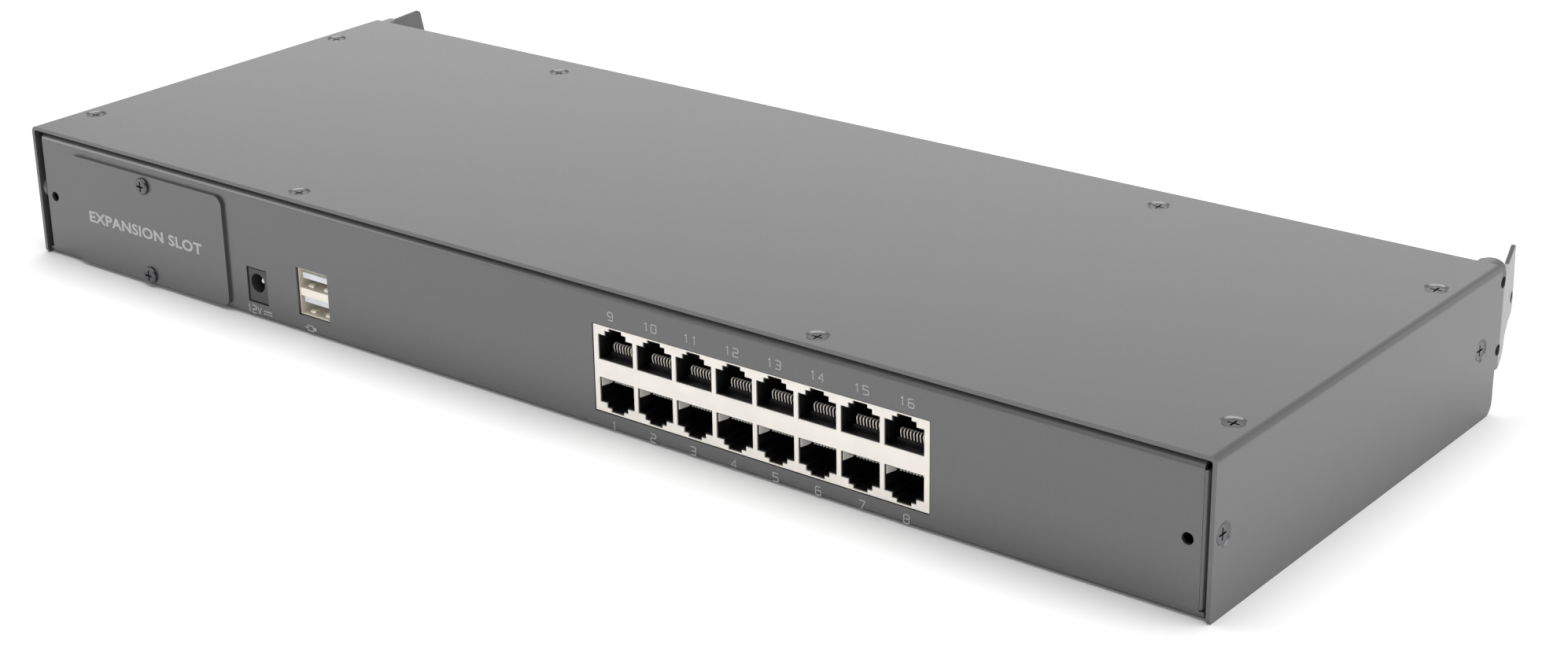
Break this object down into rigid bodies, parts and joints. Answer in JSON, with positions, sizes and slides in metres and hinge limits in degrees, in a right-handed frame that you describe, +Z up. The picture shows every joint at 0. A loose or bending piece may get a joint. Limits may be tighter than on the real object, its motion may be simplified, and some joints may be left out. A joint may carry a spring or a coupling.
{
  "type": "kvm switch",
  "caption": "Rack-width keyboard, video and mouse switch: folded steel case with rack ears, stacked network ports, USB and power inlets, and sprung channel buttons.",
  "frame": {"origin": "middle of the tray's underside, on the surface it stands on", "axes": "+Z up, +X along the width, the connector wall faces +Y and the front wall with the ears faces -Y"},
  "size_m": [0.44, 0.1787, 0.044],
  "materials": {
    "case_paint": "fine dark grey powder coat, satin",
    "case_screw": "black nickel plate, satin",
    "board_screw": "zinc plate",
    "standoff": "nickel brass, turned",
    "board": "green solder mask over glass epoxy",
    "port_plastic": "black thermoplastic",
    "port_shield": "nickel plated, matte",
    "contact_gold": "thin gold plate",
    "usb_shell": "nickel plated",
    "usb_tongue": "white thermoplastic",
    "jack_plastic": "black thermoplastic",
    "jack_metal": "nickel plated brass",
    "chip_epoxy": "moulded epoxy",
    "heat_sink": "extruded, satin",
    "capacitor": "drawn can",
    "ferrite": "ferrite",
    "crystal_can": "nickel plated can",
    "header_plastic": "black thermoplastic",
    "button_plastic": "dark grey moulded plastic",
    "display_case": "dark red tinted epoxy",
    "display_window": "tinted acrylic",
    "console_plastic": "blue thermoplastic",
    "console_shell": "nickel plated",
    "print_ink": "screen printed marks, light grey",
    "jackscrew": "nickel plated"
  },
  "bodies": {
    "case": {"top_cover": "case_paint", "base_tray": "case_paint", "option_cover_plate": "case_paint", "option_plate_screws": "case_screw", "cover_top_screws": "case_screw", "cover_side_screws": "case_screw", "main_board": "board", "board_standoffs": "standoff", "board_screws": "board_screw", "port_housing": "port_plastic", "port_shield": "port_shield", "port_contacts": "contact_gold", "port_ground_springs": "port_shield", "usb_shell": "usb_shell", "usb_insulator": "usb_tongue", "usb_contacts": "contact_gold", "dc_jack_body": "jack_plastic", "dc_jack_pin": "jack_metal", "dc_jack_spring": "jack_metal", "main_processor": "chip_epoxy", "heat_sink": "heat_sink", "crosspoint_chips": "chip_epoxy", "port_driver_chips": "chip_epoxy", "memory_chips": "chip_epoxy", "clock_crystal": "crystal_can", "bulk_capacitors": "capacitor", "power_inductor": "ferrite", "voltage_regulator": "chip_epoxy", "expansion_header": "header_plastic", "expansion_pins": "contact_gold", "button_switches": "header_plastic", "channel_display": "display_case", "display_window": "display_window", "console_shell": "console_shell", "console_insert": "console_plastic", "console_contacts": "contact_gold", "console_jackscrews": "jackscrew"},
    "channel_up": {"channel_up_button": "button_plastic"},
    "channel_down": {"channel_down_button": "button_plastic"}
  },
  "joints": [
    {"name": "channel_up_press", "type": "slide", "parent": "case", "child": "channel_up", "axis": [0, 1, 0], "range_m": [0, 0.0015], "stiffness_N_per_m": 500, "springref_m": -0.001},
    {"name": "channel_down_press", "type": "slide", "parent": "case", "child": "channel_down", "axis": [0, 1, 0], "range_m": [0, 0.0015], "stiffness_N_per_m": 500, "springref_m": -0.001}
  ]
}
